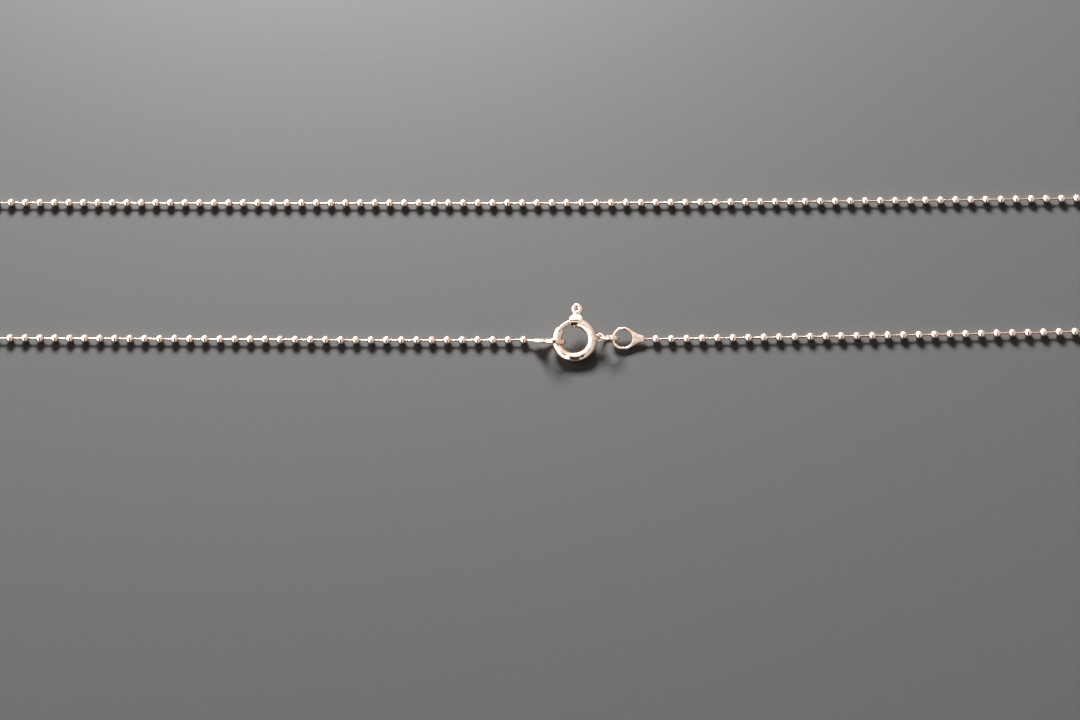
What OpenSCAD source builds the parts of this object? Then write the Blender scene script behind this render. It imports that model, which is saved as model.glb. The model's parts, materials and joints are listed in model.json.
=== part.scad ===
// Ball chain necklace with a spring-ring clasp, lying as a long closed loop.
// The loop lies on the plane z = 0, its two runs along X, the clasp in the near run.
// All sizes are in millimetres.

/* [Ball chain] */
// Outer diameter of each hollow ball
ball_d = 1.15; // [1.05:0.05:1.5]
// Distance between the centres of two neighbouring balls
ball_pitch = 2; // [1.7:0.1:2.6]
// Thickness of the ball's wall
ball_wall = 0.1; // [0.08:0.01:0.12]
// Diameter of the pin that joins two balls
pin_d = 0.26; // [0.2:0.02:0.3]
// Thickness of the flat head at the end of a pin
pin_head_t = 0.12; // [0.08:0.02:0.14]
// How far a pin's head reaches behind the rim of its hole
pin_catch = 0.04; // [0.03:0.01:0.06]

/* [End connectors] */
// Outer diameter of the ring on an end connector
end_ring_d = 3; // [2.8:0.1:3.6]
// Radial thickness of that ring's band
end_ring_band = 0.35; // [0.25:0.05:0.4]
// Thickness of the flat connector, ring and tab alike
connector_t = 0.56; // [0.4:0.04:0.7]
// Length of the tab outside its ring
tab_len = 1.2; // [0.9:0.1:1.6]
// Width of the tab's flare where it meets the ring
tab_root_w = 1.7; // [1.4:0.1:2]
// Width of the tab where the flare ends
tab_w = 1.2; // [0.9:0.1:1.4]
// Width of the tab at its narrow end
tab_tip_w = 0.76; // [0.5:0.05:0.9]
// Length of pin in sight between the tab and its ball
end_pin_len = 0.76; // [0.5:0.05:1]

/* [Jump ring] */
// Outer diameter of the jump ring
jump_ring_d = 2.75; // [2.6:0.05:3]
// Diameter of its wire
jump_wire_d = 0.34; // [0.3:0.02:0.38]

/* [Clasp] */
// Outer diameter of the clasp ring
clasp_d = 5.9; // [5.5:0.1:7]
// Outer diameter of the clasp's bent tube
tube_d = 1.3; // [1.2:0.05:1.5]
// Mean wall of that tube
tube_wall = 0.22; // [0.18:0.01:0.24]
// How far the tube's channel, and the bolt in it, lie outside the tube's middle line
bolt_out = 0.1; // [0:0.01:0.12]
// Diameter of the eye's hole, beside the clasp
eye_hole_d = 0.66; // [0.66:0.02:1]
// Diameter of the eye's wire
eye_wire_d = 0.26; // [0.24:0.02:0.4]
// Diameter of the collar that solders the eye to the tube
eye_collar_d = 0.58; // [0.4:0.02:0.7]
// Width of the thumb knob on the bolt
knob_d = 1.45; // [1.2:0.05:1.6]
// Thickness of the thumb knob
knob_t = 0.5; // [0.4:0.05:0.7]
// Diameter of the small hole in the knob
knob_hole_d = 0.3; // [0.2:0.02:0.5]
// Height of the knob's middle above the outside of the tube
knob_rise = 1.15; // [1:0.05:1.5]
// Thickness of the curved foot under the knob
foot_t = 0.14; // [0.12:0.02:0.3]
// Thickness of the web that joins the foot to the bolt
web_t = 0.3; // [0.2:0.02:0.4]

/* [Clasp angles] */
// Angle at which the tube starts its way round, at the left side of the mouth
mouth_left = 143; // [140:1:150]
// Angle at which the tube ends, at the right side of the mouth
mouth_right = 105; // [102:1:112]
// How far the closed bolt reaches into the left end of the tube
bolt_reach = 5; // [3:1:8]
// Angle of the closed thumb knob
knob_angle = 86; // [84:1:88]
// Angle that the curved foot spans
foot_span = 38; // [30:1:40]
// Angle that the web under the foot spans
web_span = 14; // [8:1:18]
// Angle of the eye on the clasp ring
eye_angle = 5.6; // [2:0.2:8]

/* [Pose] */
// Slope of the clasp ring, its far side raised off the surface
clasp_tilt = 20; // [10:1:30]
// Roll of the right end connector about the chain
right_roll = 20; // [10:1:30]
// Roll of the left end connector about the chain, nearly square to the right one
left_roll = 60; // [50:1:70]
// Roll of the jump ring about its own line of pull
jump_roll = -51; // [-57:1:-48]
// Middle of the clasp ring, to the right of the loop's middle
clasp_x = 3.66; // [0:0.1:6]
// Middle of the clasp ring, in front of the loop's middle
clasp_y = -10.3; // [-12:0.1:-9]

/* [Hidden] */
$fn = 48;
rose_gold = [0.86, 0.66, 0.58];

// Play between two pieces that are not soldered together
play = 0.1;
// How deep one piece runs into another where they are one solid
bond = 0.05;
// Play of the left ring on the tube, which passes through it at a slant
hook_play = 0.18;

// Ball and pin
ball_r = ball_d / 2;
hollow_r = ball_r - ball_wall;
pin_r = pin_d / 2;
pin_hole_r = pin_r + play;
pin_head_r = pin_hole_r + pin_catch;
// Far face of a head, measured from the middle of the ball that holds it
head_seat = sqrt(pow(hollow_r - play, 2) - pow(pin_head_r, 2));

// End connector, from the middle of its ring
end_ring_r = end_ring_d / 2;
end_hole_r = end_ring_r - end_ring_band;
band_chamfer = 0.08;
// The flare's two corners stand inside the band, clear of its chamfer
tab_root_r = end_ring_r - band_chamfer - bond;
tab_root = sqrt(pow(tab_root_r, 2) - pow(tab_root_w / 2, 2));
tab_start = end_hole_r + bond;
tab_start_w = tab_root_w * 0.7;
tab_flare_end = end_ring_r + 0.35;
tab_end = end_ring_r + tab_len;
knuckle_len = 0.2;
knuckle_d = 0.44;
connector_reach = tab_end + knuckle_len + end_pin_len + ball_r;

// Jump ring
jump_wire_r = jump_wire_d / 2;
jump_r = jump_ring_d / 2 - jump_wire_r;

// Clasp ring
tube_r = tube_d / 2;
clasp_r = clasp_d / 2 - tube_r;
channel_r = tube_r - tube_wall;
bolt_r = channel_r - play;
eye_r = (eye_hole_d + eye_wire_d) / 2;
// The eye's wire is sunk a little more than half its thickness into the tube
eye_sink = 0.04;
eye_seat = clasp_r + tube_r + eye_r - eye_sink;
tube_span = 360 - (mouth_left - mouth_right);
bolt_tip = mouth_left + bolt_reach;
bolt_tail = knob_angle - 25;
// Turn that draws the bolt's tip level with the right end of the tube
bolt_travel = bolt_tip - mouth_right;
slot_ease = 3;
slot_start = knob_angle - bolt_travel - web_span / 2 - slot_ease;
slot_span = bolt_travel + web_span + 2 * slot_ease;
foot_in_r = tube_r + play;
foot_out_r = foot_in_r + foot_t;
knob_r = knob_d / 2;
knob_seat = clasp_r + tube_r + knob_rise;
knob_neck_w = 0.9;
knob_root_w = 1.25;

// Places of the clasp's pieces
clasp_z = tube_r + clasp_r * sin(clasp_tilt);
clasp_at = [clasp_x, clasp_y, clasp_z];
function on_clasp(radius, angle) =
    clasp_at + radius * [cos(angle), sin(angle) * cos(clasp_tilt), sin(angle) * sin(clasp_tilt)];

// The left ring hooks round the tube, its band just inside the clasp's hole
left_ring_at = [clasp_x - (clasp_r - tube_r) + hook_play - end_hole_r, clasp_y - 0.22, 1.46];
left_chain_y = clasp_y + 0.5;
left_ball_dx = sqrt(pow(connector_reach, 2) - pow(left_chain_y - left_ring_at.y, 2)
                    - pow(left_ring_at.z - ball_r, 2));
left_ball_at = [left_ring_at.x - left_ball_dx, left_chain_y, ball_r];

// The jump ring runs from the eye down into the right ring
eye_at = on_clasp(eye_seat, eye_angle);
jump_left_at = eye_at + [0.02, 0, 0.02];
jump_drop = 0.7;
jump_dy = 0.29;
jump_dx = sqrt(pow(2 * jump_r, 2) - pow(jump_drop, 2) - pow(jump_dy, 2));
jump_right_at = jump_left_at + [jump_dx, jump_dy, -jump_drop];
jump_at = (jump_left_at + jump_right_at) / 2;

// The right ring hangs on the jump ring with a little slack
ring_slack = 0.2;
right_ring_at = [jump_right_at.x - jump_wire_r - play - ring_slack + end_hole_r, jump_right_at.y,
                 end_ring_r * sin(right_roll) + connector_t / 2 * cos(right_roll) + 0.02];
right_chain_y = right_ring_at.y + 0.04;
right_ball_dx = sqrt(pow(connector_reach, 2) - pow(right_chain_y - right_ring_at.y, 2)
                     - pow(right_ring_at.z - ball_r, 2));
right_ball_at = [right_ring_at.x + right_ball_dx, right_chain_y, ball_r];

// Chosen points of the chain's route on the surface, from the right connector
// round to the left one: the near run, the right turn, the far run and the left turn
near_right = [[29.2, -9.4], [49.2, -9.0], [69.2, -8.5], [84, -8.0]];
far_run = [[84, 12.25], [69.2, 12.05], [49.2, 11.8], [24.2, 11.6], [-0.8, 11.55],
           [-20.8, 11.6], [-45.8, 11.7], [-70.8, 11.85], [-84, 11.9]];
near_left = [[-84, -9.5], [-70.8, -9.55], [-45.8, -9.7], [-20.8, -9.85]];
right_turn_x = 96.3;
left_turn_x = -95.6;
turn_step = 20;
function turn(x, y_from, y_to, side) =
    let (middle = (y_from + y_to) / 2, radius = abs(y_to - y_from) / 2, sense = sign(y_to - y_from))
    [for (a = [-90:turn_step:90]) [x + side * radius * cos(a), middle + sense * radius * sin(a)]];
right_turn = turn(right_turn_x, -7.6, 12.5, 1);
left_turn = turn(left_turn_x, 12, -9.4, -1);
route = concat([[right_ball_at.x, right_ball_at.y]], near_right, right_turn, far_run,
               left_turn, near_left, [[left_ball_at.x, left_ball_at.y]]);

// Smooth curve through the route's points, as a fine line of short steps
steps_per_span = 8;
function spline(p, i, t) =
    let (a = p[max(i - 1, 0)], b = p[i], c = p[i + 1], d = p[min(i + 2, len(p) - 1)])
    0.5 * (2 * b + (c - a) * t + (2 * a - 5 * b + 4 * c - d) * t * t
           + (3 * b - a - 3 * c + d) * t * t * t);
line = [for (i = [0:len(route) - 2], k = [0:steps_per_span - 1]) spline(route, i, k / steps_per_span),
        route[len(route) - 1]];
along = [for (i = 0, s = 0; i < len(line); s = s + (i < len(line) - 1 ? norm(line[i + 1] - line[i]) : 0),
         i = i + 1) s];
line_x = [for (i = [0:len(line) - 1]) [along[i], line[i].x]];
line_y = [for (i = [0:len(line) - 1]) [along[i], line[i].y]];

// Balls stand at even steps along the line
chain_len = along[len(along) - 1];
ball_count = round(chain_len / ball_pitch) + 1;
ball_step = chain_len / (ball_count - 1);
right_share = floor(ball_count / 2);
function ball_at(i) = [lookup(i * ball_step, line_x), lookup(i * ball_step, line_y), ball_r];

// Turns the Z axis to a direction
module aim(direction) {
    rotate([0, atan2(norm([direction.x, direction.y]), direction.z), atan2(direction.y, direction.x)])
        children();
}

// Turns the X axis to a direction and rolls about it
module aim_x(direction, roll) {
    rotate([0, -atan2(direction.z, norm([direction.x, direction.y])), atan2(direction.y, direction.x)])
        rotate([roll, 0, 0]) children();
}

// Hollow ball with a hole towards each of the given places
module ball(middle, open_towards) {
    side = open_towards[0] - middle;
    translate(middle)
        difference() {
            rotate([0, 0, atan2(side.y, side.x) + 90]) sphere(ball_r);
            rotate([0, 0, atan2(side.y, side.x) + 90]) sphere(hollow_r);
            for (place = open_towards)
                aim(place - middle) cylinder(r = pin_hole_r, h = ball_r + bond);
        }
}

// Pin that starts at a distance from one place and has its head inside the ball at another
module pin(from, start, into) {
    span = norm(into - from);
    translate(from)
        aim(into - from) {
            translate([0, 0, start]) cylinder(r = pin_r, h = span - head_seat - start + bond);
            translate([0, 0, span - head_seat]) cylinder(r = pin_head_r, h = pin_head_t);
        }
}

// One link of the chain: a ball and the pin on its side, with its head in the ball before
module link(i) {
    before = ball_at(i - 1);
    here = ball_at(i);
    after = i == ball_count - 1 ? left_ring_at : ball_at(i + 1);
    ball(here, [after]);
    pin(here, ball_r - ball_wall / 2, before);
}

module ball_chain_right() {
    color(rose_gold) {
        ball(ball_at(0), [ball_at(1), right_ring_at]);
        for (i = [1:right_share - 1]) link(i);
    }
}

module ball_chain_left() {
    color(rose_gold)
        for (i = [right_share:ball_count - 1]) link(i);
}

// Flat ring, tapered tab and knuckle in one piece, with the ring's middle at the origin
module connector_body() {
    rotate_extrude()
        translate([end_hole_r, 0])
            polygon([[0, connector_t / 2 - band_chamfer], [band_chamfer, connector_t / 2],
                     [end_ring_band - band_chamfer, connector_t / 2],
                     [end_ring_band, connector_t / 2 - band_chamfer],
                     [end_ring_band, band_chamfer - connector_t / 2],
                     [end_ring_band - band_chamfer, -connector_t / 2],
                     [band_chamfer, -connector_t / 2], [0, band_chamfer - connector_t / 2]]);
    linear_extrude(connector_t, center = true)
        polygon([[tab_start, -tab_start_w / 2], [tab_root, -tab_root_w / 2],
                 [tab_flare_end, -tab_w / 2], [tab_end, -tab_tip_w / 2],
                 [tab_end, tab_tip_w / 2], [tab_flare_end, tab_w / 2],
                 [tab_root, tab_root_w / 2], [tab_start, tab_start_w / 2]]);
    translate([tab_end - bond, 0, 0])
        rotate([0, 90, 0]) cylinder(d = knuckle_d, h = knuckle_len + bond);
}

// Connector whose ring stands at one place and whose pin ends in the ball at another
module end_connector(ring_at, ball_place, roll) {
    color(rose_gold) {
        translate(ring_at) aim_x(ball_place - ring_at, roll) connector_body();
        pin(ring_at, tab_end + knuckle_len - bond, ball_place);
    }
}

module right_end_connector() {
    end_connector(right_ring_at, ball_at(0), right_roll);
}

module left_end_connector() {
    end_connector(left_ring_at, ball_at(ball_count - 1), left_roll);
}

module jump_ring() {
    color(rose_gold)
        translate(jump_at)
            aim_x(jump_right_at - jump_left_at, jump_roll)
                rotate_extrude() translate([jump_r, 0]) circle(jump_wire_r);
}

module clasp_place() {
    translate(clasp_at) rotate([clasp_tilt, 0, 0]) children();
}

// Part of a ring that lies about the clasp's middle, with a section drawn by the child
module arc(from, span) {
    rotate([0, 0, from]) rotate_extrude(angle = span) translate([clasp_r, 0]) children();
}

// Bent tube with the slot for the web, and the eye soldered to its outside
module clasp_ring() {
    slot_w = web_t + 2 * play;
    color(rose_gold)
        clasp_place()
            difference() {
                union() {
                    arc(mouth_left, tube_span) circle(tube_r);
                    rotate([0, 0, eye_angle]) {
                        translate([eye_seat, 0, 0])
                            rotate_extrude() translate([eye_r, 0]) circle(eye_wire_d / 2);
                        translate([clasp_r, 0, 0])
                            rotate([0, 90, 0])
                                cylinder(d = eye_collar_d, h = eye_seat - eye_hole_d / 2 - clasp_r);
                    }
                }
                arc(mouth_left - 1, tube_span + 2) translate([bolt_out, 0]) circle(channel_r);
                arc(slot_start, slot_span)
                    translate([bolt_r / 2, -slot_w / 2]) square([tube_r, slot_w]);
            }
}

// Round knob with a small hole, seen from above, on a neck that widens to the foot
module knob_outline() {
    neck_start = clasp_r + foot_in_r + bond;
    difference() {
        union() {
            translate([knob_seat, 0]) circle(knob_r);
            polygon([[neck_start, -knob_root_w / 2], [neck_start + knob_rise / 3, -knob_neck_w / 2],
                     [knob_seat, -knob_neck_w / 2], [knob_seat, knob_neck_w / 2],
                     [neck_start + knob_rise / 3, knob_neck_w / 2], [neck_start, knob_root_w / 2]]);
        }
        translate([knob_seat, 0]) circle(d = knob_hole_d);
    }
}

// Bolt in the tube, the web through the slot, the foot over the tube and the thumb knob
module clasp_bolt() {
    color(rose_gold)
        clasp_place() {
            arc(bolt_tail, bolt_tip - bolt_tail) translate([bolt_out, 0]) circle(bolt_r);
            arc(knob_angle - web_span / 2, web_span)
                translate([bolt_out + bolt_r - 2 * bond, -web_t / 2])
                    square([foot_in_r - bolt_out - bolt_r + 3 * bond, web_t]);
            arc(knob_angle - foot_span / 2, foot_span)
                intersection() {
                    difference() {
                        circle(foot_out_r);
                        circle(foot_in_r);
                    }
                    polygon([[0, 0], [2 * foot_out_r, -foot_out_r], [2 * foot_out_r, foot_out_r]]);
                }
            rotate([0, 0, knob_angle])
                linear_extrude(knob_t, center = true) knob_outline();
        }
}

ball_chain_right();
ball_chain_left();
right_end_connector();
left_end_connector();
jump_ring();
clasp_ring();
clasp_bolt();
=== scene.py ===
"""A rose gold ball chain necklace with a spring-ring clasp, lying as a long loop on a pale table.

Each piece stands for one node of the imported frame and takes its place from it. The balls,
pins, connectors, jump ring and clasp are modelled about the origin with one Blender unit to
the millimetre, and are then set in place in the frame's metres.
"""
import json
import math
import random

import bmesh
import bpy
from mathutils import Matrix, Vector


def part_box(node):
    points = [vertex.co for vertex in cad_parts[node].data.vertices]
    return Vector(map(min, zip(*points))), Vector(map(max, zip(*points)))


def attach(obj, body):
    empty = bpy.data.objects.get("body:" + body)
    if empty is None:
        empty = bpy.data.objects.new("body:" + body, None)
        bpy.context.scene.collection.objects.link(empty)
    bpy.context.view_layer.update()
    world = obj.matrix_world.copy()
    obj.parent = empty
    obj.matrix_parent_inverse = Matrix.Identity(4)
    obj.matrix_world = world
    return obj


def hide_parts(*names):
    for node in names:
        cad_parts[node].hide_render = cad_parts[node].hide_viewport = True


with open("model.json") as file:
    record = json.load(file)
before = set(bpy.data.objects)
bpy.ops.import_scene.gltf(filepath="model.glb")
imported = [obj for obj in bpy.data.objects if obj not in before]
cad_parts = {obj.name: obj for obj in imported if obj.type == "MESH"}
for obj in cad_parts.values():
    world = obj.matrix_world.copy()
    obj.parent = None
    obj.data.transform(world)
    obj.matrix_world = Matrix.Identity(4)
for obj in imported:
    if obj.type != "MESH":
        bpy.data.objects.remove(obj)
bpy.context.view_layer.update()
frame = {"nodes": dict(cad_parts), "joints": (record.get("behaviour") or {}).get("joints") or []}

MM = 0.001
NECKLACE = "necklace"
BOLT = "bolt"
CLASP_JOINT = frame["joints"][0]
SEED = 12

# How far from a place, in millimetres as all the sizes below, a point is still picked as on it
CLOSE_BY = 0.01
ON_PLANE = 0.001

# Ball and pin
BALL_R = 0.575
BALL_PITCH = 2
BALL_SIDES = 16
BALL_RINGS = 12
BALL_TOP_BAND = 0.002
HOLE_ANGLE = 30
HOLE_R = 0.2
# Each step from the last whole ring of the ball into its hole: share of the radius, then move
RIM_STEPS = ((0.82, 0.027), (0.85, -0.013), (0.95, -0.11))
SEAM_W = 0.02
SEAM_SINK = 0.95
SEAM_LOW = 0.25
PIN_R = 0.13
RIGHT_PIN_R = PIN_R * 1.12
LEFT_PIN_R = PIN_R * 1.4
PIN_START = 0.415
PIN_SIDES = 10
PIN_CUTS = 3
PIN_WAIST = 0.84
SHARP_ANGLE = 50

# Flat end connector, measured from the middle of its ring. The band is made a little wider on
# both sides, by the spare, for what the melting takes off it
RING_R = 1.5
RING_BAND = 0.35
RING_SPARE_IN = 0.02
RING_SPARE_OUT = 0.01
RING_ROUND = 0.12
CONNECTOR_T = 0.56
TAB_START = 1.18
TAB_END = 2.7
TAB_FLARE = 0.5
TAB_W = 1.24
TAB_TIP_W = 0.84
TAB_THINNING = 0.06
TAB_ROUND = 0.14
TAB_CUTS = 6
GUSSET_FROM = (0.99, 1.12, 0)
GUSSET_TO = (1.75, 0.67, 0)
GUSSET_W = 0.28
GUSSET_T = CONNECTOR_T - 0.02
GUSSET_ROUND = 0.1
KNUCKLE_R = 0.22
KNUCKLE_LEN = 0.2
KNUCKLE_LAP = 0.1
KNUCKLE_SIDES = 24
RIGHT_ROLL = 20
LEFT_ROLL = 60
RIGHT_RING_FROM_CLASP = (6.342, 0.599, -0.641)
LEFT_RING_FROM_CLASP = (-2.62, -0.22, 0.023)

# Jump ring
JUMP_R = 1.205
JUMP_WIRE_R = 0.17
JUMP_FROM_CLASP = (4.518, 0.454, -0.218)
JUMP_PULL = (2.288, 0.29, -0.7)
JUMP_ROLL = -51
CUT_W = 0.02
CUT_SINK = 0.86

# Clasp ring, with angles in degrees about its own middle
CLASP_R = 2.3
TUBE_R = 0.65
CHANNEL_R = 0.43
CHANNEL_SPARE = 3
BOLT_PATH_R = 2.4
MOUTH_LEFT = 143
MOUTH_RIGHT = 105
SLOT_FROM = 33
SLOT_TO = 96
SLOT_W = 0.5
SLOT_INNER = CLASP_R + 0.15
SLOT_OUTER = CLASP_R + 1
EYE_ANGLE = 5.6
EYE_SEAT = 3.37
EYE_R = 0.46
EYE_WIRE_R = 0.13
COLLAR_R = 0.29
COLLAR_TAPER = 0.2
COLLAR_ROOT = BOLT_PATH_R + CHANNEL_R + 0.04
COLLAR_TIP = EYE_SEAT - EYE_R + 0.1
COLLAR_SIDES = 24

# Bolt, foot and thumb knob
BOLT_R = 0.33
BOLT_TIP = 148
BOLT_TAIL = 61
KNOB_ANGLE = 86
KNOB_SEAT = 4.1
KNOB_R = 0.75
KNOB_HOLE_R = 0.13
KNOB_T = 0.5
# Each step that draws the knob's lower end out to a drop: from how far below its middle, share
# of the width, then move
KNOB_DRAWS = ((0.3, 0.98, 0.03), (0.55, 0.96, 0.04))
NECK_W = 0.9
NECK_ROOT_W = 1.7
NECK_T = 0.46
NECK_ROOT_T = 0.8
NECK_LAP = 0.1
NECK_CUTS = 6
FOOT_IN_R = 0.685
FOOT_OUT_R = 0.86
FOOT_SPREAD = 1.15
FOOT_EDGE = 72
FOOT_EDGE_SPARE = 4
FOOT_THIN_END = 0.985
FOOT_END_ANGLE = 4
FOOT_SPAN = 38
FOOT_TOP = CLASP_R + FOOT_OUT_R
NECK_FROM = FOOT_TOP - 0.16
NECK_TARNISH_AND_SHADE_R = FOOT_TOP + 0.05
WEB_T = 0.3
WEB_SPAN = 14
WEB_INNER = BOLT_PATH_R + 0.2
WEB_OUTER = FOOT_TOP - 0.08

# A flare falls from its root as this power of what is left of its length
FLARE_POWER = 2.5
# Segments of a rounded edge, and of rings round and across their wire
ROUND_SEGMENTS = 5
RING_STEPS = 72
SMALL_RING_STEPS = 48
WIRE_SIDES = 16
KNOB_SIDES = 20
SECTION_SIDES = 24
TUBE_SIDES = 48
TUBE_STEPS = 160
CHANNEL_STEPS = 120
SLOT_STEPS = 24
BOLT_STEPS = 40
WEB_STEPS = 6
FOOT_STEPS = 16
# Voxel of the remesh, then rounds of smoothing
CONNECTOR_MELT = (0.03, 7)
CLASP_MELT = (0.038, 6)
BOLT_MELT = (0.025, 12)

# Where tarnish settles and where shade is painted in: hollows, joints, creases and the inside of
# the tube. How far it reaches from there, and how strong it is
TARNISH_AND_SHADE_IN = {
    "ball hole": (0.1, 1),
    "pin's end": (0.12, 1),
    "knuckle": (0.12, 0.9),
    "connector pin": (0.15, 1),
    "end ring": (0.06, 0.6),
    "channel": (0.12, 1),
    "collar": (0.16, 0.6),
    "foot": (0.06, 0.8),
    "neck": (0.12, 0.5),
}
SEAM_TARNISH = 0.7
# Pins are darkened all over, painted shade between the balls
PIN_PAINTED_SHADE = 0.35

# Finishes: colours, and noises by their scale
ROSE = (0.96, 0.8, 0.71, 1)
ROSE_DEEP = (0.92, 0.73, 0.63, 1)
# Colour of the tarnish and of the painted shade
TARNISH_AND_SHADE_COLOUR = (0.3, 0.17, 0.11, 1)
CLOUD_SCALE = 1400
FINE_SCALE = 9000
SCRATCH_SCALE = 30000
METAL_RELIEF = 0.00001
TABLE_DARK = (0.26, 0.263, 0.263, 1)
TABLE_LIGHT = (0.29, 0.293, 0.293, 1)
TABLE_ROUGHNESS = 0.4
TABLE_SPECULAR = 0.2
TABLE_GRAIN_SCALE = 2500
TABLE_GRAIN = 0.2
TABLE_RELIEF = 0.00003
TABLE_SIZE = 6

# The camera, from the photograph: a 50 mm lens on a sensor 22.3 mm wide
LENS = 50
SENSOR_W = 22.3
CAMERA_AIM = (-0.8, -12.79, 0.575)
CAMERA_AZIMUTH = -6.674
CAMERA_ELEVATION = 60
CAMERA_ROLL = -5.74
CAMERA_DISTANCE = 314.2
CAMERA_CLIP = (0.01, 20)

# The window, in metres and watts. Azimuth 0 is the far side and 90 the right
WINDOW_AZIMUTH = -12
WINDOW_ELEVATION = 34
WINDOW_DISTANCE = 0.62
WINDOW_W = 0.27
WINDOW_H = 0.17
WINDOW_WATTS = 4.12
WINDOW_COLOUR = (1.0, 0.99, 0.98)

# The tent of light. Its limits are how far a direction points right (the gap's two sides), to
# the viewer (GAP_NEAR) or left (the dimmer right side and the glow), from -1 to 1
TENT_BRIGHTNESS = 0.85
TENT_COLOUR = (1.0, 0.99, 0.98, 1)
GAP_BEGINS = (-0.3, -0.12)
GAP_ENDS = (0.16, 0.34)
GAP_NEAR = (0.02, 0.5)
GAP_DARKNESS = 0.95
RIGHT_LIMITS = (-0.75, 0.0)
RIGHT_SHARE = 0.55
GLOW_LIMITS = (0.15, 0.7)
LEFT_GLOW = 1.7
TABLE_SHARE = 0.05


def deselect():
    """Leaves edit mode and selects nothing."""
    if bpy.context.object and bpy.context.object.mode != "OBJECT":
        bpy.ops.object.mode_set(mode="OBJECT")
    bpy.ops.object.select_all(action="DESELECT")


def activate(obj):
    """Makes obj the one selected and active object."""
    deselect()
    obj.select_set(True)
    bpy.context.view_layer.objects.active = obj


def new_model(name):
    """Names the primitive that was just added, with its place, turn and scale applied."""
    obj = bpy.context.object
    obj.name = name
    bpy.ops.object.transform_apply(location=True, rotation=True, scale=True)
    return obj


def middle(edge):
    """Middle of an edge."""
    return (edge.verts[0].co + edge.verts[1].co) / 2


def run_x(edge):
    """How far an edge runs along X."""
    return abs(edge.verts[0].co.x - edge.verts[1].co.x)


def pick(obj, kind, test):
    """Goes into edit mode with only those vertices or edges selected that pass the test."""
    activate(obj)
    bpy.ops.object.mode_set(mode="EDIT")
    bpy.ops.mesh.select_mode(type=kind)
    bpy.ops.mesh.select_all(action="DESELECT")
    mesh = bmesh.from_edit_mesh(obj.data)
    parts = mesh.verts if kind == "VERT" else mesh.edges
    for part in parts:
        if test(part):
            part.select_set(True)
    bmesh.update_edit_mesh(obj.data)


def join(name, *objects):
    """One object of them all."""
    deselect()
    for obj in objects:
        obj.select_set(True)
    bpy.context.view_layer.objects.active = objects[0]
    bpy.ops.object.join()
    objects[0].name = name
    return objects[0]


def apply_modifier(obj, kind, **settings):
    """Adds a modifier with its settings and applies it."""
    activate(obj)
    modifier = obj.modifiers.new(kind.lower(), kind)
    for key, value in settings.items():
        setattr(modifier, key, value)
    bpy.ops.object.modifier_apply(modifier=modifier.name)


def spun(name, section, start, span, steps):
    """Ring or part of a ring that a flat section sweeps anticlockwise about the Z axis, in degrees.

    Spin turns clockwise about the axis that it is given, so the axis points down.
    """
    activate(section)
    section.rotation_euler = (0, 0, math.radians(start))
    bpy.ops.object.transform_apply(location=True, rotation=True, scale=True)
    bpy.ops.object.mode_set(mode="EDIT")
    bpy.ops.mesh.select_all(action="SELECT")
    bpy.ops.mesh.spin(steps=steps, angle=math.radians(span), center=(0, 0, 0), axis=(0, 0, -1))
    bpy.ops.mesh.select_all(action="SELECT")
    bpy.ops.mesh.remove_doubles(threshold=0.0001)
    bpy.ops.mesh.normals_make_consistent(inside=False)
    bpy.ops.object.mode_set(mode="OBJECT")
    section.name = name
    return section


def round_section(radius, seat, sides=SECTION_SIDES):
    """Filled circle across the XZ plane, its middle out along X."""
    deselect()
    bpy.ops.mesh.primitive_circle_add(vertices=sides, radius=radius, fill_type="NGON",
                                      location=(seat, 0, 0), rotation=(math.pi / 2, 0, 0))
    return new_model("section")


def flat_section(x_from, x_to, thickness):
    """Filled rectangle across the XZ plane."""
    deselect()
    bpy.ops.mesh.primitive_plane_add(size=1, location=((x_from + x_to) / 2, 0, 0),
                                     rotation=(math.pi / 2, 0, 0))
    bpy.context.object.scale = (x_to - x_from, thickness, 1)
    return new_model("section")


def melt_together(obj, voxel, rounds):
    """Runs closed shapes that cross into one skin, with the small fillets of soldered metal."""
    apply_modifier(obj, "REMESH", mode="VOXEL", voxel_size=voxel, adaptivity=0)
    apply_modifier(obj, "SMOOTH", factor=0.5, iterations=rounds)
    activate(obj)
    bpy.ops.object.shade_smooth()


def set_in_place(obj, matrix):
    """Moves a model from its own millimetres to its place in the frame's metres."""
    obj.data.transform(Matrix.Scale(MM, 4) @ matrix)
    obj.data.update()


def flare(share):
    """How much of a flare is left at a share of its length: all at its root and none at its end."""
    return (1 - share) ** FLARE_POWER


def tarnish_and_shade_near(place, measure, at):
    """Tarnish and painted shade where a measure is, full at a place's own measure and falling off
    on both sides.
    """
    reach, strength = TARNISH_AND_SHADE_IN[place]
    return max(0.0, 1 - abs(measure - at) / reach) * strength


def tarnish_and_shade(obj, depth):
    """Keeps how much tarnish and painted shade each vertex gets, 0 to 1, for the materials to read.
    """
    layer = obj.data.attributes.new("tarnish_and_shade", "FLOAT", "POINT")
    layer.data.foreach_set("value", [min(1.0, depth(vertex.co)) for vertex in obj.data.vertices])


def dress(obj, name, body, slot, material, *nodes):
    """Gives a finished piece its name, body, material and the node it stands for. The slot is not
    used.
    """
    obj.name = obj.data.name = name
    obj.data.materials.clear()
    obj.data.materials.append(material)
    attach(obj, body)
    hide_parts(*nodes)


def facing(direction, roll=0):
    """Turn that takes the X axis to a direction, then rolls about it, in degrees."""
    x, y, z = Vector(direction).normalized()
    turn = Matrix.Rotation(math.atan2(y, x), 4, "Z") @ Matrix.Rotation(-math.asin(z), 4, "Y")
    return turn @ Matrix.Rotation(math.radians(roll), 4, "X")


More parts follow.
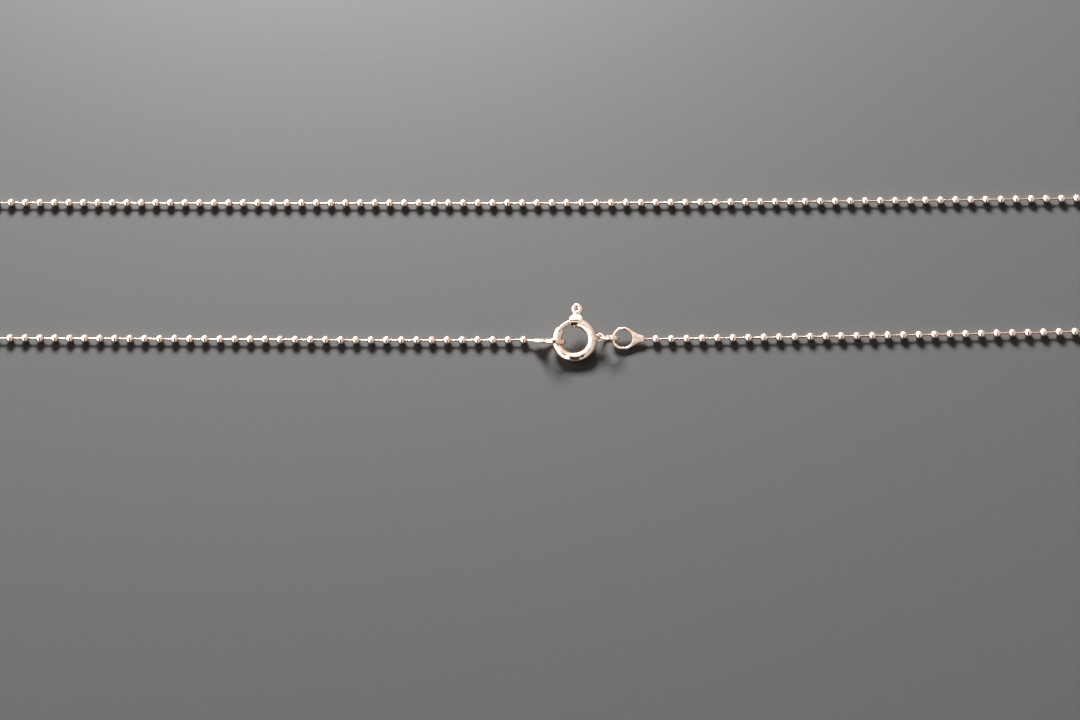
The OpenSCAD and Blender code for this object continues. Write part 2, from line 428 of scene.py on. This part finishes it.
class Socket:
    """A shader socket that Python's operators do maths on."""

    def __init__(self, nodes, link):
        self.nodes = nodes
        self.link = link

    def _math(self, operation, first, second):
        return self.nodes.add("ShaderNodeMath", {"operation": operation}, {0: first, 1: second})

    def __add__(self, other):
        return self._math("ADD", self, other)

    def __radd__(self, other):
        return self._math("ADD", other, self)

    def __sub__(self, other):
        return self._math("SUBTRACT", self, other)

    def __rsub__(self, other):
        return self._math("SUBTRACT", other, self)

    def __mul__(self, other):
        return self._math("MULTIPLY", self, other)

    def __rmul__(self, other):
        return self._math("MULTIPLY", other, self)

    def __pow__(self, other):
        return self._math("POWER", self, other)


class Nodes:
    """A node tree and the one way in which nodes are added to it."""

    def __init__(self, tree):
        self.tree = tree

    def put(self, socket, value):
        """Links a socket to another, or gives it a number or colour."""
        if isinstance(value, Socket):
            self.tree.links.new(value.link, socket)
        else:
            socket.default_value = value

    def add(self, kind, settings, inputs, output=0):
        """Adds a node with its settings and the values or links of its inputs."""
        node = self.tree.nodes.new(kind)
        for key, value in settings.items():
            setattr(node, key, value)
        for key, value in inputs.items():
            self.put(node.inputs[key], value)
        return Socket(self, node.outputs[output])


class Shader(Nodes):
    """A new material, with the noises, mixes and bumps that its looks are made of."""

    def __init__(self, name):
        self.material = bpy.data.materials.new(name)
        self.material.use_nodes = True
        super().__init__(self.material.node_tree)
        self.surface = self.tree.nodes["Principled BSDF"]
        self.place = self.add("ShaderNodeTexCoord", {}, {}, "Object")

    def set(self, **values):
        """Sets the surface's own sockets, by their names with _ for a space."""
        for key, value in values.items():
            self.put(self.surface.inputs[key.replace("_", " ")], value)

    def noise(self, scale, detail=3, roughness=0.5):
        """Noise that is fixed to the piece."""
        return self.add("ShaderNodeTexNoise", {}, {"Vector": self.place, "Scale": scale,
                                                   "Detail": detail, "Roughness": roughness})

    def mix(self, factor, first, second):
        """Colour between two, by a factor."""
        return self.add("ShaderNodeMix", {"data_type": "RGBA"},
                        {"Factor": factor, 6: first, 7: second}, 2)

    def bump(self, height, strength, distance):
        """Normal of a relief, with the distance in metres that a height of 1 stands for."""
        return self.add("ShaderNodeBump", {}, {"Height": height, "Strength": strength,
                                               "Distance": distance})


def rose_gold(name, polish, haze, dents, dent_scale, scratch):
    """Polished rose gold plate: two tints, patchy haze, shallow dents, fine scratches, tarnish and
    painted shade.
    """
    shader = Shader(name)
    clouds = shader.noise(CLOUD_SCALE)
    fine = shader.noise(FINE_SCALE, detail=4)
    worn = clouds * 0.6 + fine * 0.4
    plate = shader.mix(clouds, ROSE, ROSE_DEEP)
    # Tarnish, and painted shade in hollows, joints and inside the tube, darken the plate and dull
    # it
    tarnish_and_shade_share = shader.add("ShaderNodeAttribute", {"attribute_name": "tarnish_and_shade"}, {}, "Fac")
    tarnish_and_shade_stain = tarnish_and_shade_share * (0.35 + 0.9 * fine)
    shader.set(Base_Color=shader.mix(tarnish_and_shade_stain, plate, TARNISH_AND_SHADE_COLOUR), Metallic=1.0,
               Roughness=polish + haze * worn ** 2 + 0.25 * tarnish_and_shade_stain)
    shallow = shader.noise(dent_scale, detail=1)
    scratches = shader.noise(SCRATCH_SCALE, detail=2, roughness=0.7)
    relief = shallow * dents + scratches * scratch
    shader.set(Normal=shader.bump(relief, 1.0, METAL_RELIEF))
    return shader.material


chain_metal = rose_gold("ball_chain_plate", polish=0.1, haze=0.2, dents=1.2, dent_scale=900,
                        scratch=0.12)
clasp_metal = rose_gold("clasp_plate", polish=0.09, haze=0.16, dents=10, dent_scale=900,
                        scratch=0.2)
bolt_metal = rose_gold("bolt_plate", polish=0.1, haze=0.16, dents=5, dent_scale=1200,
                       scratch=0.2)
link_metal = rose_gold("connector_plate", polish=0.1, haze=0.2, dents=6, dent_scale=1000,
                       scratch=0.25)


def ball_model():
    """Hollow stamped ball along X: a hole with a rolled rim at each end and one closed seam."""
    deselect()
    bpy.ops.mesh.primitive_uv_sphere_add(segments=BALL_SIDES, ring_count=BALL_RINGS,
                                         radius=BALL_R, rotation=(0, math.pi / 2, 0))
    ball = new_model("ball_model")
    rim_x = BALL_R * math.cos(math.radians(HOLE_ANGLE))
    seam_depth = BALL_R * (1 + SEAM_SINK) / 2

    def on_seam(place, half_length):
        """Whether a place is on the seam, up to some way from the ball's middle."""
        return abs(place.y) < ON_PLANE and place.z > SEAM_LOW and abs(place.x) < half_length

    def in_seam(place):
        """Whether a place is at the seam's sunken bottom."""
        return place.z > 0 and abs(place.y) < ON_PLANE and place.length < seam_depth

    pick(ball, "VERT", lambda v: abs(v.co.x) > rim_x + CLOSE_BY)
    bpy.ops.mesh.delete(type="VERT")
    for side in (1, -1):
        pick(ball, "EDGE", lambda e: middle(e).x * side > rim_x - CLOSE_BY)
        for share, move in RIM_STEPS:
            bpy.ops.mesh.extrude_region()
            bpy.ops.transform.resize(value=(1, share, share))
            bpy.ops.transform.translate(value=(side * move, 0, 0))
        bpy.ops.mesh.edge_face_add()
    pick(ball, "EDGE", lambda e: on_seam(middle(e), rim_x))
    bpy.ops.mesh.bevel(offset=SEAM_W, segments=2, affect="EDGES")
    pick(ball, "VERT", lambda v: on_seam(v.co, rim_x - CLOSE_BY))
    bpy.ops.transform.resize(value=(1, 1, SEAM_SINK), center_override=(0, 0, 0))
    bpy.ops.mesh.select_all(action="SELECT")
    bpy.ops.mesh.normals_make_consistent(inside=False)
    activate(ball)
    bpy.ops.object.shade_smooth_by_angle(angle=math.radians(SHARP_ANGLE))
    # Painted shade with tarnish at the hole rims; the seam's dark line is the ball's own
    tarnish_and_shade(ball, lambda co: max(tarnish_and_shade_near("ball hole", math.hypot(co.y, co.z), HOLE_R),
                              SEAM_TARNISH if in_seam(co) else 0))
    return ball


def pin_model(start, end, radius=PIN_R):
    """Drawn pin along X between two distances from the origin, a little waisted."""
    half = (end - start) / 2
    deselect()
    bpy.ops.mesh.primitive_cylinder_add(vertices=PIN_SIDES, radius=radius, depth=2 * half,
                                        location=(start + half, 0, 0),
                                        rotation=(0, math.pi / 2, 0))
    pin = new_model("pin_model")
    pick(pin, "EDGE", lambda e: run_x(e) > half)
    bpy.ops.mesh.subdivide(number_cuts=PIN_CUTS)
    pick(pin, "VERT", lambda v: abs(v.co.x - start - half) < half / 4)
    bpy.ops.transform.resize(value=(1, PIN_WAIST, PIN_WAIST))
    activate(pin)
    bpy.ops.object.shade_smooth_by_angle(angle=math.radians(SHARP_ANGLE))
    return pin


def ball_middles(node):
    """Middles of a chain node's balls, in millimetres: each is under the ball's topmost point."""
    found = []
    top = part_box(node)[1].z
    for vertex in frame["nodes"][node].data.vertices:
        place = vertex.co
        if place.z < top - BALL_TOP_BAND * MM:
            continue
        spot = Vector((place.x / MM, place.y / MM, BALL_R))
        if all((spot - other).length > BALL_R for other in found):
            found.append(spot)
    return found


def in_order(spots, start):
    """The spots from the one nearest to a place, each followed by its nearest neighbour."""
    left = list(spots)
    line = []
    here = start
    while left:
        here = min(left, key=lambda spot: (spot - here).length)
        left.remove(here)
        line.append(here)
    return line


def copy_at(model, matrix):
    """Copy of a model with its own mesh, turned and moved."""
    copy = model.copy()
    copy.data = model.data.copy()
    copy.data.transform(matrix)
    bpy.context.scene.collection.objects.link(copy)
    return copy


def chain_piece(node, places, first, last):
    """The balls from first to last, each with the pin on its earlier side, as one mesh.

    The places hold the balls' middles, with the two end rings' middles before and after them.
    """
    ball = ball_model()
    pin = pin_model(PIN_START, BALL_PITCH - PIN_START)
    half = BALL_PITCH / 2
    # Painted shade all along the pin, deeper where it goes into the ball
    tarnish_and_shade(pin, lambda co: max(PIN_PAINTED_SHADE, tarnish_and_shade_near("pin's end", abs(co.x - half), half - BALL_R)))
    links = []
    for i in range(first, last + 1):
        earlier, here, later = places[i - 1:i + 2]
        turn = facing(later - earlier, random.uniform(0, 360))
        links.append(copy_at(ball, Matrix.Translation(here) @ turn))
        if i > 1:
            links.append(copy_at(pin, Matrix.Translation(earlier) @ facing(here - earlier)))
    for model in (ball, pin):
        bpy.data.objects.remove(model)
    piece = join(node, *links)
    set_in_place(piece, Matrix())
    dress(piece, node + "_beads", NECKLACE, "chain_rose_gold", chain_metal, node)


def end_ring_model():
    """Ring of the connector, its band rounded on all four edges."""
    section = flat_section(RING_R - RING_BAND - RING_SPARE_IN, RING_R + RING_SPARE_OUT, CONNECTOR_T)
    pick(section, "VERT", lambda v: True)
    bpy.ops.mesh.bevel(offset=RING_ROUND, segments=ROUND_SEGMENTS, affect="VERTICES")
    return spun("ring", section, 0, 360, RING_STEPS)


def tab_model():
    """Tab of the connector: flared at the ring, full-sided, crowned and thinner at its tip."""
    length = TAB_END - TAB_START
    deselect()
    bpy.ops.mesh.primitive_cube_add(size=1, location=(TAB_START + length / 2, 0, 0))
    bpy.context.object.scale = (length, TAB_W, CONNECTOR_T)
    tab = new_model("tab")
    pick(tab, "EDGE", lambda e: run_x(e) > length / 2)
    bpy.ops.mesh.subdivide(number_cuts=TAB_CUTS)
    for step in range(TAB_CUTS + 2):
        share = step / (TAB_CUTS + 1)
        at = TAB_START + length * share
        crown = (TAB_W - TAB_TIP_W) * math.cos(share * math.pi / 2)
        width = TAB_TIP_W + crown + TAB_FLARE * flare(share)
        pick(tab, "VERT", lambda v: abs(v.co.x - at) < CLOSE_BY)
        bpy.ops.transform.resize(value=(1, width / TAB_W, 1 - TAB_THINNING * share ** 2))
    pick(tab, "EDGE", lambda e: run_x(e) > CLOSE_BY or middle(e).x > TAB_END - CLOSE_BY)
    bpy.ops.mesh.bevel(offset=TAB_ROUND, segments=ROUND_SEGMENTS, affect="EDGES")
    activate(tab)
    return tab


def gusset_model(side):
    """Web that fills the corner between the ring's rim and one side of the tab."""
    from_ring = Vector(GUSSET_FROM)
    to_tab = Vector(GUSSET_TO)
    along = to_tab - from_ring
    across = Vector((-along.y, along.x, 0)).normalized()
    centre = (from_ring + to_tab) / 2 - across * GUSSET_W / 2
    deselect()
    bpy.ops.mesh.primitive_cube_add(size=1, location=(centre.x, side * centre.y, 0),
                                    rotation=(0, 0, side * math.atan2(along.y, along.x)))
    bpy.context.object.scale = (along.length, GUSSET_W, GUSSET_T)
    gusset = new_model("gusset")
    apply_modifier(gusset, "BEVEL", width=GUSSET_ROUND, segments=4, limit_method="ANGLE")
    return gusset


def connector_piece(node, ring_at, ball_at, roll, pin_r):
    """Ring, tab, knuckle and pin in one, from the ring's middle to the ball that holds the pin."""
    reach = (ball_at - ring_at).length
    ring = end_ring_model()
    tab = tab_model()
    deselect()
    bpy.ops.mesh.primitive_cylinder_add(vertices=KNUCKLE_SIDES, radius=KNUCKLE_R,
                                        depth=KNUCKLE_LEN + KNUCKLE_LAP,
                                        location=(TAB_END + (KNUCKLE_LEN - KNUCKLE_LAP) / 2, 0, 0),
                                        rotation=(0, math.pi / 2, 0))
    knuckle = new_model("knuckle")
    pin = pin_model(TAB_END, reach - PIN_START, pin_r)
    piece = join("connector", ring, tab, gusset_model(1), gusset_model(-1), knuckle, pin)
    melt_together(piece, *CONNECTOR_MELT)
    # Painted shade with tarnish on the ring's inner wall, at the knuckle and where the pin meets
    # the ball
    tarnish_and_shade(piece, lambda co: max(tarnish_and_shade_near("knuckle", co.x, TAB_END),
                               tarnish_and_shade_near("connector pin", co.x, reach - BALL_R),
                               tarnish_and_shade_near("end ring", math.hypot(co.x, co.y), RING_R - RING_BAND)))
    set_in_place(piece, Matrix.Translation(ring_at) @ facing(ball_at - ring_at, roll))
    dress(piece, node + "_tab", NECKLACE, "connector_rose_gold", link_metal, node)


def jump_ring_piece():
    """Closed ring of round wire with the fine cut where its two ends meet."""
    deselect()
    bpy.ops.mesh.primitive_torus_add(major_segments=RING_STEPS, minor_segments=WIRE_SIDES,
                                     major_radius=JUMP_R, minor_radius=JUMP_WIRE_R)
    ring = new_model("jump_ring_model")

    def at_cut(vertex):
        """Whether a vertex is where the wire's ends meet."""
        return vertex.co.y > 0 and abs(vertex.co.x) < ON_PLANE

    pick(ring, "EDGE", lambda e: all(at_cut(v) for v in e.verts))
    bpy.ops.mesh.bevel(offset=CUT_W, segments=2, affect="EDGES")
    pick(ring, "VERT", at_cut)
    bpy.ops.transform.resize(value=(1, CUT_SINK, CUT_SINK), center_override=(0, JUMP_R, 0))
    activate(ring)
    bpy.ops.object.shade_smooth()
    tarnish_and_shade(ring, lambda co: 1 if co.y > 0 and abs(co.x) < ON_PLANE else 0)
    place = Matrix.Translation(clasp_at + Vector(JUMP_FROM_CLASP))
    set_in_place(ring, place @ facing(JUMP_PULL, JUMP_ROLL))
    dress(ring, "jump_ring_wire", NECKLACE, "connector_rose_gold", link_metal, "jump_ring")


def from_tube_middle(co):
    """Distance of a point in the clasp's own plane from the middle line of its tube."""
    return math.hypot(math.hypot(co.x, co.y) - CLASP_R, co.z)


def tube_model():
    """Bent tube, open at its mouth, hollow for the bolt and slotted for the bolt's web."""
    span = 360 - MOUTH_LEFT + MOUTH_RIGHT
    tube = spun("tube", round_section(TUBE_R, CLASP_R, TUBE_SIDES), MOUTH_LEFT, span, TUBE_STEPS)
    channel = spun("channel", round_section(CHANNEL_R, BOLT_PATH_R), MOUTH_LEFT - CHANNEL_SPARE,
                   span + 2 * CHANNEL_SPARE, CHANNEL_STEPS)
    slot = spun("slot", flat_section(SLOT_INNER, SLOT_OUTER, SLOT_W), SLOT_FROM,
                SLOT_TO - SLOT_FROM, SLOT_STEPS)
    for cutter in (channel, slot):
        apply_modifier(tube, "BOOLEAN", operation="DIFFERENCE", object=cutter, solver="EXACT")
        bpy.data.objects.remove(cutter)
    return tube


def to_eye():
    """Direction from the clasp's middle to its eye, in the clasp's own plane."""
    angle = math.radians(EYE_ANGLE)
    return Vector((math.cos(angle), math.sin(angle), 0))


def eye_models():
    """The small closed eye beside the tube, and its soldered collar, wider at the tube."""
    deselect()
    bpy.ops.mesh.primitive_torus_add(major_segments=SMALL_RING_STEPS, minor_segments=WIRE_SIDES,
                                     major_radius=EYE_R, minor_radius=EYE_WIRE_R,
                                     location=to_eye() * EYE_SEAT)
    eye = new_model("eye")
    deselect()
    bpy.ops.mesh.primitive_cone_add(vertices=COLLAR_SIDES, radius1=COLLAR_R * (1 + COLLAR_TAPER),
                                    radius2=COLLAR_R * (1 - COLLAR_TAPER),
                                    depth=COLLAR_TIP - COLLAR_ROOT,
                                    location=to_eye() * (COLLAR_ROOT + COLLAR_TIP) / 2,
                                    rotation=(0, math.pi / 2, math.radians(EYE_ANGLE)))
    return eye, new_model("collar")


def clasp_ring_piece():
    """The clasp's tube with its eye soldered on."""
    piece = join("clasp", tube_model(), *eye_models())
    melt_together(piece, *CLASP_MELT)
    solder_at = (CLASP_R + TUBE_R) * to_eye()
    # Painted shade inside the tube's channel, and tarnish with painted shade round the soldered
    # collar
    tarnish_and_shade(piece, lambda co: max(tarnish_and_shade_near("channel", from_tube_middle(co), CHANNEL_R),
                               tarnish_and_shade_near("collar", (co - solder_at).length, COLLAR_R)))
    set_in_place(piece, clasp_turn)
    dress(piece, "clasp_ring_tube", NECKLACE, "clasp_rose_gold", clasp_metal, "clasp_ring")


def foot_section():
    """Crescent that lies over the outside of the tube, thin at its two edges."""
    deselect()
    bpy.ops.mesh.primitive_circle_add(vertices=SMALL_RING_STEPS, radius=FOOT_IN_R,
                                      fill_type="NOTHING", location=(CLASP_R, 0, 0),
                                      rotation=(math.pi / 2, 0, 0))
    foot = new_model("section")
    edge_x = FOOT_IN_R * math.cos(math.radians(FOOT_EDGE + FOOT_EDGE_SPARE))
    pick(foot, "VERT", lambda v: v.co.x - CLASP_R < edge_x)
    bpy.ops.mesh.delete(type="VERT")
    pick(foot, "EDGE", lambda e: True)
    bpy.ops.mesh.extrude_region()
    bpy.ops.transform.resize(value=(FOOT_OUT_R / FOOT_IN_R, 1, FOOT_SPREAD),
                             center_override=(CLASP_R, 0, 0))
    bpy.ops.object.mode_set(mode="OBJECT")
    return foot


def knob_models():
    """The thumb knob, an eyelet drawn out to a drop, and the neck that carries it on the foot."""
    deselect()
    bpy.ops.mesh.primitive_torus_add(major_segments=SMALL_RING_STEPS, minor_segments=KNOB_SIDES,
                                     major_radius=(KNOB_R + KNOB_HOLE_R) / 2,
                                     minor_radius=(KNOB_R - KNOB_HOLE_R) / 2,
                                     location=(KNOB_SEAT, 0, 0))
    knob = new_model("knob")
    for below, narrow, draw in KNOB_DRAWS:
        pick(knob, "VERT", lambda v: v.co.x < KNOB_SEAT - below)
        bpy.ops.transform.resize(value=(1, narrow, 1))
        bpy.ops.transform.translate(value=(-draw, 0, 0))
    pick(knob, "VERT", lambda v: True)
    bpy.ops.transform.resize(value=(1, 1, KNOB_T / (KNOB_R - KNOB_HOLE_R)))
    length = KNOB_SEAT - KNOB_R + NECK_LAP - NECK_FROM
    deselect()
    bpy.ops.mesh.primitive_cube_add(size=1, location=(NECK_FROM + length / 2, 0, 0))
    bpy.context.object.scale = (length, NECK_W, NECK_T)
    neck = new_model("neck")
    pick(neck, "EDGE", lambda e: run_x(e) > length / 2)
    bpy.ops.mesh.subdivide(number_cuts=NECK_CUTS)
    for step in range(NECK_CUTS + 1):
        share = step / (NECK_CUTS + 1)
        pick(neck, "VERT", lambda v: abs(v.co.x - NECK_FROM - length * share) < CLOSE_BY)
        bpy.ops.transform.resize(value=(1, 1 + (NECK_ROOT_W / NECK_W - 1) * flare(share),
                                        1 + (NECK_ROOT_T / NECK_T - 1) * flare(share)))
    for model in (knob, neck):
        deselect()
        model.data.transform(Matrix.Rotation(math.radians(KNOB_ANGLE), 4, "Z"))
    return knob, neck


def bolt_piece():
    """Curved bolt in the tube, the web in the slot, the foot over the tube and the thumb knob."""
    bolt = spun("bolt", round_section(BOLT_R, BOLT_PATH_R), BOLT_TAIL, BOLT_TIP - BOLT_TAIL,
                BOLT_STEPS)
    web = spun("web", flat_section(WEB_INNER, WEB_OUTER, WEB_T), KNOB_ANGLE - WEB_SPAN / 2,
               WEB_SPAN, WEB_STEPS)
    foot = spun("foot", foot_section(), KNOB_ANGLE - FOOT_SPAN / 2, FOOT_SPAN, FOOT_STEPS)
    ends = [math.radians(KNOB_ANGLE + side * FOOT_SPAN / 2) for side in (-1, 1)]

    def at_end(vertex):
        """Whether a vertex of the foot's outer side is near one of its two ends."""
        angle = math.atan2(vertex.co.y, vertex.co.x)
        return (from_tube_middle(vertex.co) > FOOT_IN_R + 2 * CLOSE_BY
                and any(abs(angle - end) < math.radians(FOOT_END_ANGLE) for end in ends))

    pick(foot, "VERT", at_end)
    bpy.ops.transform.resize(value=(FOOT_THIN_END, FOOT_THIN_END, 1), center_override=(0, 0, 0))
    piece = join("bolt_model", bolt, web, foot, *knob_models())
    melt_together(piece, *BOLT_MELT)
    # Painted shade with tarnish where the foot lies on the tube and where the neck rises from the
    # foot
    tarnish_and_shade(piece, lambda co: max(tarnish_and_shade_near("foot", from_tube_middle(co), FOOT_IN_R),
                               tarnish_and_shade_near("neck", math.hypot(co.x, co.y), NECK_TARNISH_AND_SHADE_R)))
    set_in_place(piece, clasp_turn)
    dress(piece, "clasp_bolt_knob", BOLT, "bolt_rose_gold", bolt_metal, "clasp_bolt")


random.seed(SEED)
clasp_at = Vector(CLASP_JOINT["pos_m"]) / MM
clasp_up = -Vector(CLASP_JOINT["axis"])
clasp_tilt = Vector((0, 0, 1)).rotation_difference(clasp_up).to_matrix().to_4x4()
clasp_turn = Matrix.Translation(clasp_at) @ clasp_tilt

right_ring_at = clasp_at + Vector(RIGHT_RING_FROM_CLASP)
left_ring_at = clasp_at + Vector(LEFT_RING_FROM_CLASP)
right_balls = in_order(ball_middles("ball_chain_right"), right_ring_at)
left_balls = in_order(ball_middles("ball_chain_left"), right_balls[-1])
chain_line = [right_ring_at] + right_balls + left_balls + [left_ring_at]

chain_piece("ball_chain_right", chain_line, 1, len(right_balls))
chain_piece("ball_chain_left", chain_line, len(right_balls) + 1, len(chain_line) - 2)
connector_piece("right_end_connector", right_ring_at, right_balls[0], RIGHT_ROLL, RIGHT_PIN_R)
connector_piece("left_end_connector", left_ring_at, left_balls[-1], LEFT_ROLL, LEFT_PIN_R)
jump_ring_piece()
clasp_ring_piece()
bolt_piece()


def table_top():
    """Pale, slightly grained table that the necklace lies on."""
    deselect()
    bpy.ops.mesh.primitive_plane_add(size=TABLE_SIZE, location=(0, 0, 0))
    table = new_model("table_top")
    shader = Shader("pale_table")
    grain = shader.noise(TABLE_GRAIN_SCALE)
    shader.set(Base_Color=shader.mix(grain, TABLE_DARK, TABLE_LIGHT), Roughness=TABLE_ROUGHNESS,
               Specular_IOR_Level=TABLE_SPECULAR)
    shader.set(Normal=shader.bump(grain, TABLE_GRAIN, TABLE_RELIEF))
    table.data.materials.append(shader.material)


def window_light():
    """A bright window on the far side, which faces the necklace and draws its shadows."""
    light = bpy.data.lights.new("window_light", "AREA")
    light.shape = "RECTANGLE"
    light.size = WINDOW_W
    light.size_y = WINDOW_H
    light.energy = WINDOW_WATTS
    light.color = WINDOW_COLOUR
    lamp = bpy.data.objects.new("window_light", light)
    a = math.radians(WINDOW_AZIMUTH)
    e = math.radians(WINDOW_ELEVATION)
    out = Vector((math.sin(a) * math.cos(e), math.cos(a) * math.cos(e), math.sin(e)))
    lamp.location = out * WINDOW_DISTANCE
    lamp.rotation_euler = out.to_track_quat("Z", "Y").to_euler()
    bpy.context.scene.collection.objects.link(lamp)


def light_tent():
    """White tent over the table, with a dark gap that stands up from the near horizon.

    It lights the table less than the metal mirrors it, so that the window draws the shadows.
    """
    world = bpy.data.worlds.new("studio")
    bpy.context.scene.world = world
    world.use_nodes = True
    sky = Nodes(world.node_tree)

    def towards(direction):
        """Share of a ray that points in a direction, -1 to 1."""
        ray = sky.add("ShaderNodeTexCoord", {}, {}, "Generated")
        return sky.add("ShaderNodeVectorMath", {"operation": "DOT_PRODUCT"},
                       {0: ray, 1: direction}, "Value")

    def across(measure, limits, least, most=1.0):
        """From one value to another, smoothly, as a measure crosses its two limits."""
        return sky.add("ShaderNodeMapRange", {"interpolation_type": "SMOOTHSTEP"},
                       {"Value": measure, "From Min": limits[0], "From Max": limits[1],
                        "To Min": least, "To Max": most}, "Result")

    right = (1, 0, 0)
    left = (-1, 0, 0)
    viewer = (0, -1, 0)
    gap_w = across(towards(right), GAP_BEGINS, 0.0) * across(towards(right), GAP_ENDS, 1.0, 0.0)
    gap = gap_w * (across(towards(viewer), GAP_NEAR, 0.0) * GAP_DARKNESS)
    sides = (across(towards(left), RIGHT_LIMITS, RIGHT_SHARE)
             * across(towards(left), GLOW_LIMITS, 1.0, LEFT_GLOW))
    on_table = sky.add("ShaderNodeLightPath", {}, {}, "Is Diffuse Ray")
    dimmed = 1.0 - on_table * (1 - TABLE_SHARE)
    ground = sky.tree.nodes["Background"]
    sky.put(ground.inputs["Color"], TENT_COLOUR)
    sky.put(ground.inputs["Strength"], (1.0 - gap) * sides * (dimmed * TENT_BRIGHTNESS))


def camera():
    """The camera, where the photograph's was."""
    lens = bpy.data.cameras.new("camera")
    lens.lens = LENS
    lens.sensor_width = SENSOR_W
    lens.clip_start, lens.clip_end = CAMERA_CLIP
    cam = bpy.data.objects.new("camera", lens)
    bpy.context.scene.collection.objects.link(cam)
    azimuth = math.radians(CAMERA_AZIMUTH)
    elevation = math.radians(CAMERA_ELEVATION)
    ahead = Vector((math.sin(azimuth) * math.cos(elevation),
                    math.cos(azimuth) * math.cos(elevation), -math.sin(elevation)))
    level = Vector((math.cos(azimuth), -math.sin(azimuth), 0))
    right = Matrix.Rotation(math.radians(CAMERA_ROLL), 4, -ahead) @ level
    up = right.cross(ahead)
    cam.matrix_world = Matrix((right, up, -ahead)).transposed().to_4x4()
    cam.location = (Vector(CAMERA_AIM) - CAMERA_DISTANCE * ahead) * MM
    bpy.context.scene.camera = cam


table_top()
window_light()
light_tent()
camera()
bpy.context.scene.view_settings.view_transform = "Standard"
bpy.context.scene.view_settings.look = "High Contrast"
